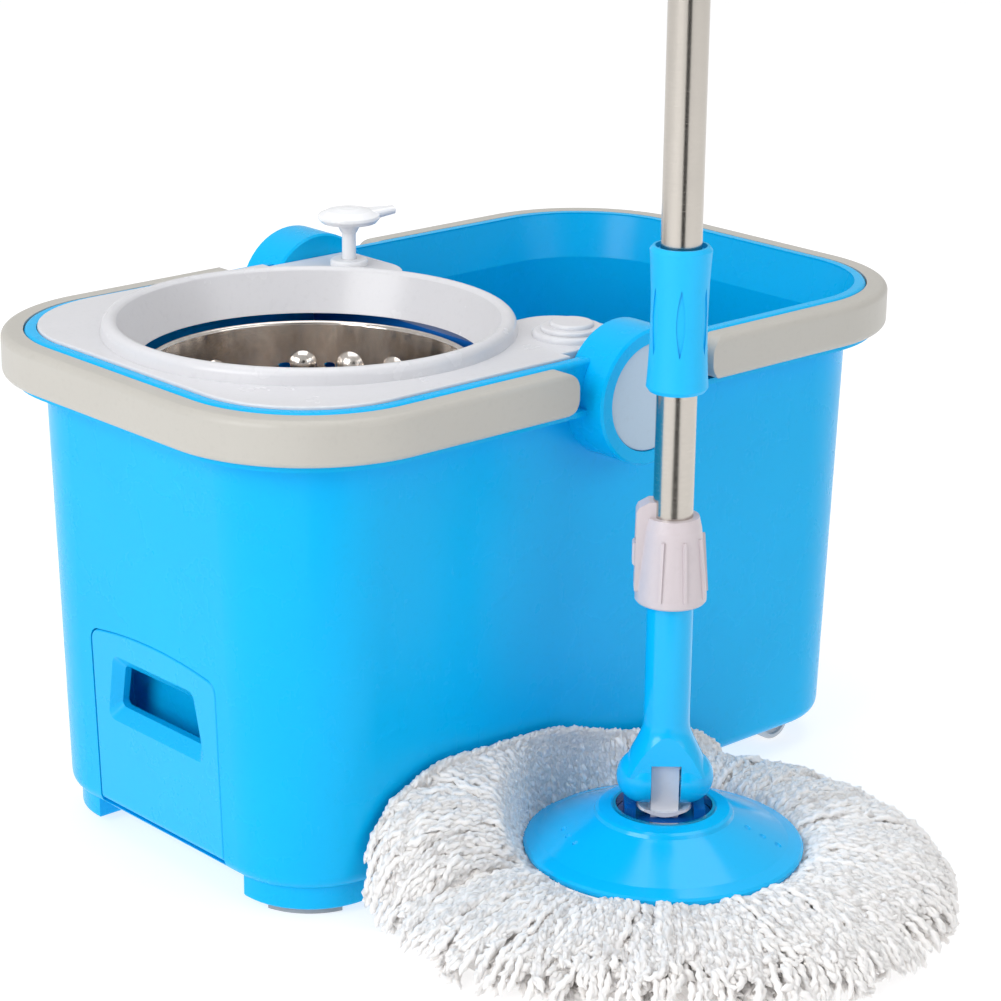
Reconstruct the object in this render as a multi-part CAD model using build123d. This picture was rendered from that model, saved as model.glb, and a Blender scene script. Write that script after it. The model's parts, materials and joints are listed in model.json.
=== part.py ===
from build123d import *
import math
import os

# Spin mop set: a two-chamber bucket with a spinning basket, and its press-to-spin mop.
# Millimetres. The floor is z = 0. The bucket's long side lies along X, its basket end at -X.

# --- where the two halves of the set stand ---
BUCKET_Y = 100.0
MOP_X, MOP_Y = -31.0, -95.0
MOP_TURN = -42.5

# --- tub ---
RIM_Z = 273.0
RIM_L, RIM_W, RIM_R = 450.0, 265.0, 71.0
RIM_T = 6.5
LEDGE_Z, LEDGE_T, LEDGE_OUT = 245.5, 3.0, 5.0
WALL_L, WALL_W, WALL_R = 429.0, 244.0, 60.5
BASE_L, BASE_W, BASE_R = 412.0, 227.0, 47.0
BASE_Z = 16.0
WALL_T, FLOOR_T = 2.6, 3.0
FLOOR_TOP = BASE_Z + FLOOR_T
SHELF_Z = 259.0
BASE_ROUND = 8.0
FOOT_INSET, FOOT_SIDE, FOOT_Z = 5.0, 50.0, 4.0
PAD_INSET, PAD_SIDE = 10.0, 38.0

# --- round barrels half way along the long sides ---
BARREL_R, BARREL_Z = 36.0, 251.0
BARREL_IN, BARREL_OUT = 120.0, 148.0
BADGE_R, BADGE_T, BADGE_SET = 28.4, 3.0, 0.8

# --- carry handles ---
HANDLE_T = 12.0
HANDLE_GAP = 0.4
HANDLE_LOW, HANDLE_HIGH = 249.0, 272.5
HANDLE_END_X = 48.0
HANDLE_PIVOT_X, HANDLE_PIVOT_Z = 59.0, 260.75
HANDLE_END_ROUND = 9.5
HANDLE_PIN_R, HANDLE_PIN_GAP = 4.0, 0.05
HANDLE_BORE_DEPTH = 8.0

# --- tow handle in the basket end wall ---
TOW_HALF_W, TOW_LOW, TOW_SIDE_TOP, TOW_TOP = 53.5, 4.0, 103.0, 108.0
TOW_T, TOW_GAP, TOW_POCKET, TOW_POCKET_WALL = 9.0, 0.6, 25.0, 2.5
TOW_PIN_R, TOW_PIN_GAP = 2.0, 0.06
GRIP_FOOT_HALF, GRIP_HEAD_HALF, GRIP_FOOT_V, GRIP_HEAD_V = 36.0, 30.5, 63.0, 87.5
BEVEL_FOOT_HALF, BEVEL_HEAD_HALF, BEVEL_FOOT_V, BEVEL_HEAD_V = 42.0, 34.5, 56.0, 93.5
BEVEL_DEPTH = 5.0

# --- wheels ---
WHEEL_R, WHEEL_W = 12.0, 14.0
WHEEL_X, WHEEL_Y = 165.0, 86.0
AXLE_R, AXLE_GAP, AXLE_HALF = 2.5, 0.06, 97.0
WELL_GAP, WELL_WALL = 2.5, 2.4
LUG_Y, LUG_L, LUG_T = 70.0, 14.0, 8.0

# --- splash deck ---
DECK_GAP = 0.5
DECK_T, DECK_TOP = 3.0, 274.5
SKIRT_T, SKIRT_LOW = 2.5, 261.3
LOBE_X, LOBE_IN, LOBE_ROUND = 20.0, 56.0, 24.0
NOTCH_HALF = 36.8
BASKET_X = -104.0
RING_R, RING_SEAT_R = 108.5, 105.6
LIP_TOP, FUNNEL_R, FUNNEL_LOW = 282.3, 90.0, 259.0
CAP_X, CAP_Y = -9.0, -97.0
PUMP_X, PUMP_Y = 0.0, 94.0
CAP_BOSS_R, CAP_BOSS_Z, CAP_HOLE_R = 20.6, 277.6, 13.6
CAP_PLUG_LOW, CAP_FLANGE_R, CAP_KNOB_R = 268.0, 16.2, 11.6
PUMP_HOLE_R, PUMP_BORE_R, PUMP_STEM_R = 8.0, 6.2, 3.9
PUMP_LOW, PUMP_FLOOR_Z, PUMP_HEAD_Z = 238.0, 240.5, 299.0
STUB_R, STUB_BORE_R, STUB_LOW = 4.2, 2.6, 230.0
DIP_LOW = 204.0
SPRING_R, SPRING_BORE_R, SPRING_HIGH = 5.4, 3.4, 259.6
BEAK_TURN, BEAK_REACH = -18.0, 27.0

# --- soap reservoir ---
SOAP_X0, SOAP_X1, SOAP_HALF, SOAP_T = -14.0, 19.0, 112.0, 2.0
SOAP_LOW, SOAP_HIGH = 198.0, 256.5

# --- basket and its drive ---
BASKET_RIM_Z, BASKET_RIM_R = 254.0, 84.0
BASKET_FLOOR_Z, BASKET_FLOOR_R, BASKET_ROUND = 160.0, 78.0, 9.0
BASKET_T, BEAD_R = 1.0, 1.9
DIMPLES, DIMPLE_R, DIMPLE_DEPTH, DIMPLE_Z = 20, 9.0, 3.2, 231.0
WALL_HOLE_R, FLOOR_HOLE_R = 2.3, 2.5
FLOOR_HOLE_ROWS = ((36, 12), (50, 18), (64, 24))
SPINDLE_R, SPINDLE_GAP = 5.0, 0.05
SPINDLE_LOW, SPINDLE_TOP = 118.0, 176.0
POST_TOP = 139.2
WASHER_T = 1.6
HUB_FOOT_Z = POST_TOP + WASHER_T + 0.4
HUB_NECK_R, HUB_FLANGE_R, HUB_TOP = 11.0, 25.0, 184.0
POST_FLANGE_R, POST_FLANGE_T, POST_SCREW_R = 32.0, 4.0, 26.0
SCREW_R, SCREW_HEAD_R, SCREW_HEAD_H = 2.0, 3.8, 2.6

# --- mop head, measured from the mop's own axis ---
PLATE_R, PLATE_LOW = 72.0, 27.0
HUB_RECESS_R, HUB_FLOOR_Z, BEARING_TOP = 26.2, 38.0, 50.9
YARN_RING_R, YARN_RING_BORE = 61.0, 30.0
HUB_R, HUB_TOP_Z = 24.5, 45.5
FOOT_SCREW_R, FOOT_SCREW_TOP = 2.5, 44.0
PIVOT_Z = 66.5
CRADLE_IN, CRADLE_OUT = 14.9, 20.5
LUG_HALF, SLOT_HALF = 7.0, 7.6
LUG_HALF_Y, LUG_ABOVE_PIN, SLOT_ABOVE_PIN = 5.5, 7.6, 10.0
PIN_R, PIN_GAP = 3.0, 0.05
SHANK_R, SHANK_TOP = 11.7, 161.4
FLARE_TOP, FLARE_LOW, FLARE_R = 98.0, 70.0, 22.5
FORK_HALF_Y, CHEEK_X, CHEEK_R = 12.6, 10.6, 14.2
YARN_REACH = 153.0
YARN_WALL_Y = 77.5
YARN_TOP, RIDGE_SET = 34.0, 16.0
RIDGE_CREST = ((-142, 22), (-136, 44), (-118, 66), (-92, 75), (-50, 75), (0, 71), (36, 60),
               (84, 49), (116, 34), (124, 22))

# --- mop pole ---
COLLAR_LOW, COLLAR_HIGH, COLLAR_LOW_R, COLLAR_HIGH_R = 161.8, 206.5, 18.0, 14.6
TUBE_R, TUBE_T = 10.1, 0.7
INNER_R, INNER_T = 8.5, 0.8
INNER_LOW, INNER_HIGH = 128.0, 408.0
TUBE_LOW, TUBE_JOINT, TUBE_HIGH = 175.0, 307.0, 800.0
GRIP_LOW, GRIP_HIGH, GRIP_R, GRIP_WAIST_R = 271.0, 343.5, 15.3, 14.0
NUT_LOW, NUT_H = 420.0, 12.0
BAR_LOW, BAR_HIGH, BAR_W, BAR_T, BAR_GAP = 131.0, 636.0, 6.0, 2.2, 0.15
PITCH = 100.0
JOURNAL_R, JOURNAL_GAP, JOURNAL_LOW = 3.0, 0.05, 112.5
CLUTCH_R, CLUTCH_LOW = 8.4, 108.0
TOP_TUBE_R, TOP_TUBE_LOW, TOP_TUBE_HIGH = 9.3, 440.0, 880.0
LOCK_LOW, LOCK_HIGH, LOCK_R = 788.0, 834.0, 14.5
TOP_GRIP_LOW, TOP_GRIP_HIGH, TOP_GRIP_R = 842.0, 962.0, 13.5
LOOP_HIGH, EYE_R, EYE_HOLE_R = 990.0, 12.0, 6.5


# ---------- helpers ----------
def rounded(length, width, radius, z):
    """A rounded rectangle at height z."""
    return Pos(0, 0, z) * RectangleRounded(length, width, radius)


def block(x0, x1, y0, y1, z0, z1):
    """A box between two corners."""
    centre = ((x0 + x1) / 2, (y0 + y1) / 2, (z0 + z1) / 2)
    return Pos(*centre) * Box(abs(x1 - x0), abs(y1 - y0), z1 - z0)


def rod(radius, z0, z1, x=0.0, y=0.0):
    """An upright cylinder."""
    return Pos(x, y, (z0 + z1) / 2) * Cylinder(radius, z1 - z0)


def rod_y(radius, y0, y1, x, z):
    """A cylinder along Y."""
    return Pos(x, (y0 + y1) / 2, z) * Rot(90, 0, 0) * Cylinder(radius, abs(y1 - y0))


def rod_x(radius, x0, x1, y, z):
    """A cylinder along X."""
    return Pos((x0 + x1) / 2, y, z) * Rot(0, 90, 0) * Cylinder(radius, abs(x1 - x0))


def pipe(outer, inner, z0, z1):
    """An upright tube."""
    return rod(outer, z0, z1) - rod(inner, z0 - 1, z1 + 1)


def turned(points):
    """A solid of revolution about Z from (radius, height) corners."""
    outline = Polyline(*[(r, 0, z) for r, z in points], close=True)
    return revolve(make_face(outline), Axis.Z)


def slab(z0, z1, sketch):
    """A flat sketch raised from z0 to z1."""
    return extrude(Pos(0, 0, z0) * sketch, z1 - z0)


def ring_edges(part, z, slack=0.2):
    """The edges that lie flat at height z."""
    return part.edges().filter_by(lambda e: flat_at(e, z, slack))


def on_plane(edge, plane):
    return all(abs(plane.to_local_coords(edge @ t).Z) < 0.01 for t in (0, 0.5, 1))


def flat_at(edge, z, slack):
    box = edge.bounding_box()
    return abs(box.min.Z - z) < slack and abs(box.max.Z - z) < slack


def mirrored_y(part):
    """The part and its mirror image across the bucket's long centre plane."""
    return [part, mirror(part, Plane.XZ)]


def wall_size(z):
    """Length, width and corner radius of the tapered tub wall at height z."""
    k = (z - BASE_Z) / (LEDGE_Z - BASE_Z)
    sizes = ((BASE_L, WALL_L), (BASE_W, WALL_W), (BASE_R, WALL_R))
    return [low + (high - low) * k for low, high in sizes]


def wall_section(z, inset):
    length, width, radius = wall_size(z)
    return rounded(length - 2 * inset, width - 2 * inset, radius - inset, z)


def end_wall_plane():
    """The outer face of the basket end wall: u along Y, v up the wall, from its foot."""
    lean = (WALL_L - BASE_L) / 2 / (LEDGE_Z - BASE_Z)
    return Plane(origin=(-BASE_L / 2, 0, BASE_Z), x_dir=(0, -1, 0), z_dir=(-1, 0, -lean))


def at_basket(part):
    return Pos(BASKET_X, 0, 0) * part


# ---------- bucket ----------
def tow_outline(grow=0.0):
    """The tow handle's outline on the end wall, arched along its top."""
    side, low, shoulder, top = TOW_HALF_W + grow, TOW_LOW - grow, TOW_SIDE_TOP + grow, TOW_TOP + grow
    foot = Polyline((-side, shoulder), (-side, low), (side, low), (side, shoulder))
    arch = ThreePointArc((side, shoulder), (0, top), (-side, shoulder))
    face = make_face([foot, arch])
    corners = face.vertices().group_by(Axis.Y)[-1]
    return fillet(corners, 7 + grow)


def tub_outside():
    wall = loft([wall_section(BASE_Z, 0), wall_section(LEDGE_Z, 0)])
    wall = fillet(ring_edges(wall, BASE_Z), BASE_ROUND)
    grown = 2 * LEDGE_OUT
    ledge_sketch = RectangleRounded(RIM_L + grown, RIM_W + grown, RIM_R + LEDGE_OUT)
    ledge = slab(LEDGE_Z, LEDGE_Z + LEDGE_T, ledge_sketch)
    neck = slab(LEDGE_Z + LEDGE_T, RIM_Z, RectangleRounded(RIM_L, RIM_W, RIM_R))
    neck = fillet(ring_edges(neck, RIM_Z), 2.6)
    return wall + ledge + neck


def tub_cavity():
    narrow_z = LEDGE_Z + 1.5
    low = loft([wall_section(FLOOR_TOP, WALL_T), wall_section(narrow_z, WALL_T)])
    low = fillet(ring_edges(low, FLOOR_TOP), BASE_ROUND - WALL_T)
    mouth = [RIM_L - 2 * RIM_T, RIM_W - 2 * RIM_T, RIM_R - RIM_T]
    flare = loft([wall_section(narrow_z, WALL_T), rounded(*mouth, SHELF_Z)])
    top = slab(SHELF_Z, RIM_Z + 5, RectangleRounded(*mouth))
    return low + flare + top


def wash_lining():
    """Fills the ledge behind the rim beyond the deck, so the wash end's wall runs up smoothly."""
    low_z = LEDGE_Z + 1.5
    mouth = [RIM_L - 2 * RIM_T, RIM_W - 2 * RIM_T, RIM_R - RIM_T]
    ring = slab(low_z, RIM_Z - 1, RectangleRounded(mouth[0] + 1, mouth[1] + 1, mouth[2] + 0.5))
    ring -= loft([wall_section(low_z, WALL_T), rounded(*mouth, RIM_Z - 1)])
    return ring & block(LOBE_X + DECK_GAP, RIM_L / 2, -RIM_W / 2, RIM_W / 2, low_z, RIM_Z)


def barrels():
    solids = []
    for barrel in mirrored_y(rod_y(BARREL_R, BARREL_IN, BARREL_OUT, 0, BARREL_Z)):
        solids.append(chamfer(barrel.edges().filter_by(GeomType.CIRCLE), 1.2))
    return solids


def barrel_cores():
    core = rod_y(BADGE_R + 0.3, BARREL_IN + 4, BARREL_OUT + 1, 0, BARREL_Z)
    step = rod_y(BADGE_R - 2.4, BARREL_IN + 3, BARREL_OUT, 0, BARREL_Z)
    seat = rod_y(BADGE_R + 3, BARREL_IN - 1, BARREL_OUT - BADGE_SET - BADGE_T, 0, BARREL_Z)
    return mirrored_y((core - seat) + step)


def corner_blocks(inset, side, z0, z1, ends):
    """Square-ish blocks that follow the tub's bottom corners."""
    outline = RectangleRounded(BASE_L - 2 * inset, BASE_W - 2 * inset, BASE_R - inset)
    plate = slab(z0, z1, outline)
    x1, y1 = BASE_L / 2, BASE_W / 2
    return [
        plate & block(sx * (x1 - side), sx * x1, sy * (y1 - side), sy * y1, z0, z1)
        for sx in ends
        for sy in (-1, 1)
    ]


def feet():
    solids = []
    for foot in corner_blocks(FOOT_INSET, FOOT_SIDE, FOOT_Z, BASE_Z + 1.5, (-1,)):
        solids.append(fillet(ring_edges(foot, FOOT_Z), 2.0))
    return solids


def screw_points():
    return [
        (BASKET_X + POST_SCREW_R * math.cos(a), POST_SCREW_R * math.sin(a))
        for a in (math.radians(45 + 90 * i) for i in range(4))
    ]


def wheel_box(grow, z1):
    half_x = WHEEL_R + WELL_GAP + grow
    half_y = WHEEL_W / 2 + WELL_GAP + grow
    return mirrored_y(block(WHEEL_X - half_x, WHEEL_X + half_x, WHEEL_Y - half_y,
                            WHEEL_Y + half_y, BASE_Z - grow, z1 + grow))


def tow_pivot():
    """The tow handle's hinge line in the bucket's X and Z."""
    plane = end_wall_plane()
    centre = plane.from_local_coords(Vector(0, TOW_LOW + TOW_T / 2, -TOW_T / 2))
    return centre.X, centre.Z


def make_tub():
    plane = end_wall_plane()
    body = tub_outside() - tub_cavity() + wash_lining()
    shell_sketch = plane * tow_outline(TOW_GAP + TOW_POCKET_WALL)
    pocket_box = extrude(shell_sketch, -(TOW_POCKET + TOW_POCKET_WALL)) & tub_outside()
    body += pocket_box
    body -= extrude(plane * tow_outline(TOW_GAP), -TOW_POCKET)
    body -= extrude(plane * tow_outline(TOW_GAP), 3)
    inside = block(-BASE_L, BASE_L, -BASE_W, BASE_W, FLOOR_TOP - 1, RIM_Z)
    well_top = WHEEL_R * 2 + WELL_GAP
    for well in wheel_box(WELL_WALL, well_top):
        body += well & inside
    for well in wheel_box(0, well_top):
        body -= well
    for lug in mirrored_y(block(WHEEL_X - LUG_L / 2, WHEEL_X + LUG_L / 2, LUG_Y - LUG_T / 2,
                                LUG_Y + LUG_T / 2, WHEEL_R - 5, BASE_Z + 1)):
        body += lug
    body -= rod_y(AXLE_R, -LUG_Y - LUG_T, LUG_Y + LUG_T, WHEEL_X, WHEEL_R)
    for solid in barrels() + feet():
        body += solid
    for core in barrel_cores():
        body -= core
    pivot_x, pivot_z = tow_pivot()
    reach = TOW_HALF_W + TOW_GAP + TOW_POCKET_WALL
    body -= rod_y(TOW_PIN_R, -reach + 0.5, reach - 0.5, pivot_x, pivot_z)
    for x, y in screw_points():
        body -= rod(SCREW_R, BASE_Z + 1.5, FLOOR_TOP + 1, x, y)
    for x in (-HANDLE_PIVOT_X, HANDLE_PIVOT_X):
        for hole in mirrored_y(rod_y(HANDLE_PIN_R, RIM_W / 2 - RIM_T + 1, RIM_W / 2 + 1, x,
                                     HANDLE_PIVOT_Z)):
            body -= hole
    return body


def make_badges():
    face_y = BARREL_OUT - BADGE_SET
    disc = rod_y(BADGE_R, face_y - BADGE_T, face_y, 0, BARREL_Z)
    disc = fillet(disc.edges().filter_by(GeomType.CIRCLE).sort_by(Axis.Y)[-1:], 0.8)
    return mirrored_y(disc)


def make_handle_pins():
    pins = []
    inner = RIM_W / 2 - RIM_T + 1
    outer = RIM_W / 2 + HANDLE_GAP + HANDLE_BORE_DEPTH - 0.4
    for x in (-HANDLE_PIVOT_X, HANDLE_PIVOT_X):
        pins += mirrored_y(rod_y(HANDLE_PIN_R, inner, outer, x, HANDLE_PIVOT_Z))
    return pins


def make_handle(side):
    """One U-shaped carry handle: side -1 wraps the basket end, +1 the wash end."""
    out_l, out_w, out_r = RIM_L + 2 * HANDLE_T, RIM_W + 2 * HANDLE_T, RIM_R + HANDLE_T
    gap = HANDLE_GAP
    band = slab(HANDLE_LOW, HANDLE_HIGH, RectangleRounded(out_l, out_w, out_r))
    band = fillet(band.edges().filter_by(lambda e: e.bounding_box().size.Z < 0.1), 4.0)
    band -= slab(HANDLE_LOW - 1, HANDLE_HIGH + 1,
                 RectangleRounded(RIM_L + 2 * gap, RIM_W + 2 * gap, RIM_R + gap))
    reach = out_l / 2 + 5
    length = reach - HANDLE_END_X + HANDLE_END_ROUND
    centre_x = HANDLE_END_X + length / 2
    middle = (HANDLE_LOW + HANDLE_HIGH) / 2
    height = HANDLE_HIGH - HANDLE_LOW
    profile = Plane.XZ * Pos(side * centre_x, middle) * RectangleRounded(
        length, height + 0.02, HANDLE_END_ROUND)
    band &= extrude(profile, out_w, both=True)
    for bore in mirrored_y(rod_y(HANDLE_PIN_R + HANDLE_PIN_GAP, RIM_W / 2,
                                 RIM_W / 2 + gap + HANDLE_BORE_DEPTH,
                                 side * HANDLE_PIVOT_X, HANDLE_PIVOT_Z)):
        band -= bore
    return band


def make_foot_pads():
    return corner_blocks(PAD_INSET, PAD_SIDE, 0.0, FOOT_Z, (-1,))


def tapered_slot(foot_half, head_half, foot_v, head_v, corner):
    """A slot's outline on the end wall, narrower at its top."""
    outline = Polyline((-foot_half, foot_v), (foot_half, foot_v), (head_half, head_v),
                       (-head_half, head_v), close=True)
    face = make_face(outline)
    return fillet(face.vertices(), corner)


def make_tow_handle():
    """A flap with a bevelled finger opening, flush in the end wall."""
    plane = end_wall_plane()
    flap = extrude(plane * tow_outline(), -TOW_T)
    hinge_edges = flap.edges().filter_by(Axis.Y).group_by(Axis.Z)[0]
    flap = fillet(hinge_edges, TOW_T / 2 - 0.05)
    rim = flap.edges().filter_by(lambda e: on_plane(e, plane))
    flap = fillet(rim, 1.0)
    opening = tapered_slot(GRIP_FOOT_HALF, GRIP_HEAD_HALF, GRIP_FOOT_V, GRIP_HEAD_V, 3.0)
    bevel = tapered_slot(BEVEL_FOOT_HALF, BEVEL_HEAD_HALF, BEVEL_FOOT_V, BEVEL_HEAD_V, 5.0)
    inner_plane = plane * Pos(0, 0, -BEVEL_DEPTH)
    flap -= loft([plane * bevel, inner_plane * opening])
    flap -= extrude(inner_plane * opening, -TOW_T)
    pivot_x, pivot_z = tow_pivot()
    return flap - rod_y(TOW_PIN_R + TOW_PIN_GAP, -TOW_HALF_W - 1, TOW_HALF_W + 1, pivot_x, pivot_z)


def make_tow_pin():
    pivot_x, pivot_z = tow_pivot()
    reach = TOW_HALF_W + TOW_GAP + TOW_POCKET_WALL - 0.5
    return rod_y(TOW_PIN_R, -reach, reach, pivot_x, pivot_z)


def make_wheel(side):
    y0 = WHEEL_Y - WHEEL_W / 2
    wheel = rod_y(WHEEL_R, y0, y0 + WHEEL_W, WHEEL_X, WHEEL_R)
    wheel = fillet(wheel.edges().filter_by(GeomType.CIRCLE), 1.5)
    for y in (y0 - 1, y0 + WHEEL_W - 2):
        wheel -= rod_y(WHEEL_R - 3, y, y + 3, WHEEL_X, WHEEL_R) - rod_y(
            AXLE_R + 2.5, y, y + 3, WHEEL_X, WHEEL_R)
    wheel -= rod_y(AXLE_R + AXLE_GAP, y0 - 2, y0 + WHEEL_W + 2, WHEEL_X, WHEEL_R)
    return wheel if side > 0 else mirror(wheel, Plane.XZ)


def make_wheel_axle():
    return rod_y(AXLE_R, -AXLE_HALF, AXLE_HALF, WHEEL_X, WHEEL_R)


# ---------- basket drive ----------
def make_post():
    top = FLOOR_TOP + POST_FLANGE_T
    profile = [(0, FLOOR_TOP), (POST_FLANGE_R, FLOOR_TOP), (POST_FLANGE_R, top), (21, top),
               (15, top + 40), (11, POST_TOP), (0, POST_TOP)]
    post = at_basket(turned(profile)) - rod(SPINDLE_R, SPINDLE_LOW, POST_TOP + 1, BASKET_X)
    for x, y in screw_points():
        post -= rod(SCREW_R, FLOOR_TOP - 1, top + 1, x, y)
    return post


def make_post_screws():
    head_z = FLOOR_TOP + POST_FLANGE_T
    screws = []
    for x, y in screw_points():
        head = rod(SCREW_HEAD_R, head_z, head_z + SCREW_HEAD_H, x, y)
        head = fillet(ring_edges(head, head_z + SCREW_HEAD_H), 1.0)
        head -= Pos(x, y, head_z + SCREW_HEAD_H) * Box(1, 4.4, 2)
        head -= Pos(x, y, head_z + SCREW_HEAD_H) * Box(4.4, 1, 2)
        screws.append(head + rod(SCREW_R, BASE_Z + 1.5, head_z, x, y))
    return screws


def make_spindle_pin():
    pin = rod(SPINDLE_R, SPINDLE_LOW, SPINDLE_TOP, BASKET_X)
    return chamfer(ring_edges(pin, SPINDLE_TOP), 1.0)


def make_thrust_washer():
    return at_basket(pipe(10.0, SPINDLE_R + 0.2, POST_TOP, POST_TOP + WASHER_T))


def make_basket_hub():
    floor = BASKET_FLOOR_Z
    bore = SPINDLE_R + SPINDLE_GAP
    neck = HUB_NECK_R
    profile = [(0, SPINDLE_TOP + 0.8), (bore, SPINDLE_TOP + 0.8), (bore, HUB_FOOT_Z),
               (neck, HUB_FOOT_Z), (neck, floor - 4), (HUB_FLANGE_R, floor - 4),
               (HUB_FLANGE_R, floor - BASKET_T), (neck, floor - BASKET_T), (neck, floor),
               (HUB_FLANGE_R, floor), (HUB_FLANGE_R, floor + 3), (neck + 2, floor + 6),
               (neck, HUB_TOP - 6), (6, HUB_TOP - 1), (0, HUB_TOP)]
    return at_basket(turned(profile))


def basket_hull(grow):
    """The basket's cup shape, grown or shrunk by its sheet thickness."""
    r_top, r_low = BASKET_RIM_R + grow, BASKET_FLOOR_R + grow
    floor = BASKET_FLOOR_Z - grow
    cup = turned([(0, floor), (r_low, floor), (r_top, BASKET_RIM_Z), (0, BASKET_RIM_Z)])
    return fillet(ring_edges(cup, floor), BASKET_ROUND + grow)


def around(count, radius, z, start=0.0):
    for i in range(count):
        a = math.radians(start + 360 * i / count)
        yield radius * math.cos(a), radius * math.sin(a), z, math.degrees(a)


def dents(grow):
    """Balls that press round dimples into the basket's wall from outside."""
    wall_r = BASKET_FLOOR_R + (BASKET_RIM_R - BASKET_FLOOR_R) * (
        DIMPLE_Z - BASKET_FLOOR_Z) / (BASKET_RIM_Z - BASKET_FLOOR_Z)
    centre_r = wall_r + DIMPLE_R - DIMPLE_DEPTH
    return [Pos(x, y, z) * Sphere(DIMPLE_R + grow)
            for x, y, z, _ in around(DIMPLES, centre_r, DIMPLE_Z)]


def make_basket():
    outer = basket_hull(BASKET_T) - dents(0)
    inner = basket_hull(0) - dents(BASKET_T)
    basket = outer - inner
    basket += Pos(0, 0, BASKET_RIM_Z) * Torus(BASKET_RIM_R + BEAD_R, BEAD_R)
    half_step = 180 / DIMPLES
    for drop, start in ((0, half_step), (22, 0), (36, half_step), (50, 0)):
        basket -= [Pos(x, y, z) * Rot(0, 90, a) * Cylinder(WALL_HOLE_R, 14)
                   for x, y, z, a in around(DIMPLES, BASKET_RIM_R - 3, DIMPLE_Z - drop, start)]
    for radius, count in FLOOR_HOLE_ROWS:
        basket -= [Pos(x, y, z) * Cylinder(FLOOR_HOLE_R, 6)
                   for x, y, z, _ in around(count, radius, BASKET_FLOOR_Z)]
    basket -= rod(HUB_NECK_R, BASKET_FLOOR_Z - 3, BASKET_FLOOR_Z + 3)
    return at_basket(basket)


# ---------- splash deck, soap pump and filler ----------
def deck_outline(inset):
    """The deck seen from above: the rim's inside, a round funnel end and two lobes."""
    grow = 2 * (RIM_T + DECK_GAP + inset)
    rim = RectangleRounded(RIM_L - grow, RIM_W - grow, RIM_R - grow / 2)
    left = Pos(-RIM_L / 2, 0) * Rectangle(2 * (RIM_L / 2 + BASKET_X), RIM_W)
    lobe_w = RIM_W / 2 - LOBE_IN
    lobe_x = (BASKET_X + LOBE_X - inset) / 2
    lobe = Rectangle(LOBE_X - inset - BASKET_X, lobe_w)
    lobes = [Pos(lobe_x, s * (LOBE_IN + inset + lobe_w / 2)) * lobe for s in (-1, 1)]
    shape = (left + lobes[0] + lobes[1] + Pos(BASKET_X, 0) * Circle(RING_R - inset)) & rim
    corners = [v for v in shape.vertices()
               if abs(v.X - LOBE_X + inset) < 0.1 and abs(abs(v.Y) - LOBE_IN - inset) < 0.1]
    shape = fillet(corners, LOBE_ROUND)
    notch_y = BARREL_IN - 0.6 - inset
    for s in (-1, 1):
        shape -= Pos(0, s * (notch_y + 20)) * Rectangle(2 * (NOTCH_HALF + inset), 40)
    return shape


def funnel_ring():
    """The raised lip and the sloping funnel that lead water into the basket."""
    foot_z = DECK_TOP - 2
    outer_r, crest_r, inner_r = RING_R - 1.1, RING_R - 4.9, RING_R - 8.9
    outside = Polyline((RING_SEAT_R, 0, foot_z), (RING_R, 0, foot_z), (outer_r, 0, LIP_TOP - 3.9))
    lip = ThreePointArc((outer_r, 0, LIP_TOP - 3.9), (crest_r, 0, LIP_TOP), (inner_r, 0, LIP_TOP - 1.7))
    inside = Polyline((inner_r, 0, LIP_TOP - 1.7), (FUNNEL_R, 0, FUNNEL_LOW),
                      (FUNNEL_R + 2.6, 0, FUNNEL_LOW), (inner_r + 2, 0, LIP_TOP - 3.7),
                      (RING_SEAT_R - 1, 0, LIP_TOP - 3.7), (RING_SEAT_R, 0, foot_z))
    return at_basket(revolve(make_face([outside, lip, inside]), Axis.Z))


def make_deck():
    low = DECK_TOP - DECK_T
    deck = slab(low, DECK_TOP, deck_outline(0))
    deck = fillet(ring_edges(deck, DECK_TOP), 1.0)
    skirt = slab(SKIRT_LOW, low, deck_outline(0)) - slab(SKIRT_LOW - 1, low + 1, deck_outline(SKIRT_T))
    deck += skirt - rod(RING_R + 3, SKIRT_LOW - 1, low + 1, BASKET_X)
    deck -= rod(106, low - 1, DECK_TOP + 1, BASKET_X)
    deck += funnel_ring()
    boss = rod(CAP_BOSS_R, low, CAP_BOSS_Z, CAP_X, CAP_Y)
    deck += fillet(ring_edges(boss, CAP_BOSS_Z), 2.2)
    deck -= rod(CAP_HOLE_R, low - 1, CAP_BOSS_Z + 1, CAP_X, CAP_Y)
    deck -= rod(PUMP_HOLE_R, low - 1, DECK_TOP + 1, PUMP_X, PUMP_Y)
    return deck


def make_filler_cap():
    plug_r, seat_z = CAP_HOLE_R - 0.3, CAP_BOSS_Z + 0.1
    flange_top, knob_top = seat_z + 2.1, seat_z + 4.3
    cap = rod(plug_r, CAP_PLUG_LOW, seat_z, CAP_X, CAP_Y)
    flange = rod(CAP_FLANGE_R, seat_z, flange_top, CAP_X, CAP_Y)
    flange = fillet(ring_edges(flange, flange_top), 1.2)
    knob = rod(CAP_KNOB_R, seat_z + 1, knob_top, CAP_X, CAP_Y)
    knob = fillet(ring_edges(knob, knob_top), 1.6)
    return cap + flange + knob - rod(plug_r - 2.8, CAP_PLUG_LOW - 1, CAP_BOSS_Z - 2.6, CAP_X, CAP_Y)


def make_pump_collar():
    top = DECK_TOP + 3.4
    collar = rod(PUMP_HOLE_R + 2.6, DECK_TOP, top, PUMP_X, PUMP_Y)
    collar = fillet(ring_edges(collar, top), 1.2)
    return collar - rod(PUMP_STEM_R + 0.4, DECK_TOP - 1, top + 1, PUMP_X, PUMP_Y)


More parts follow.
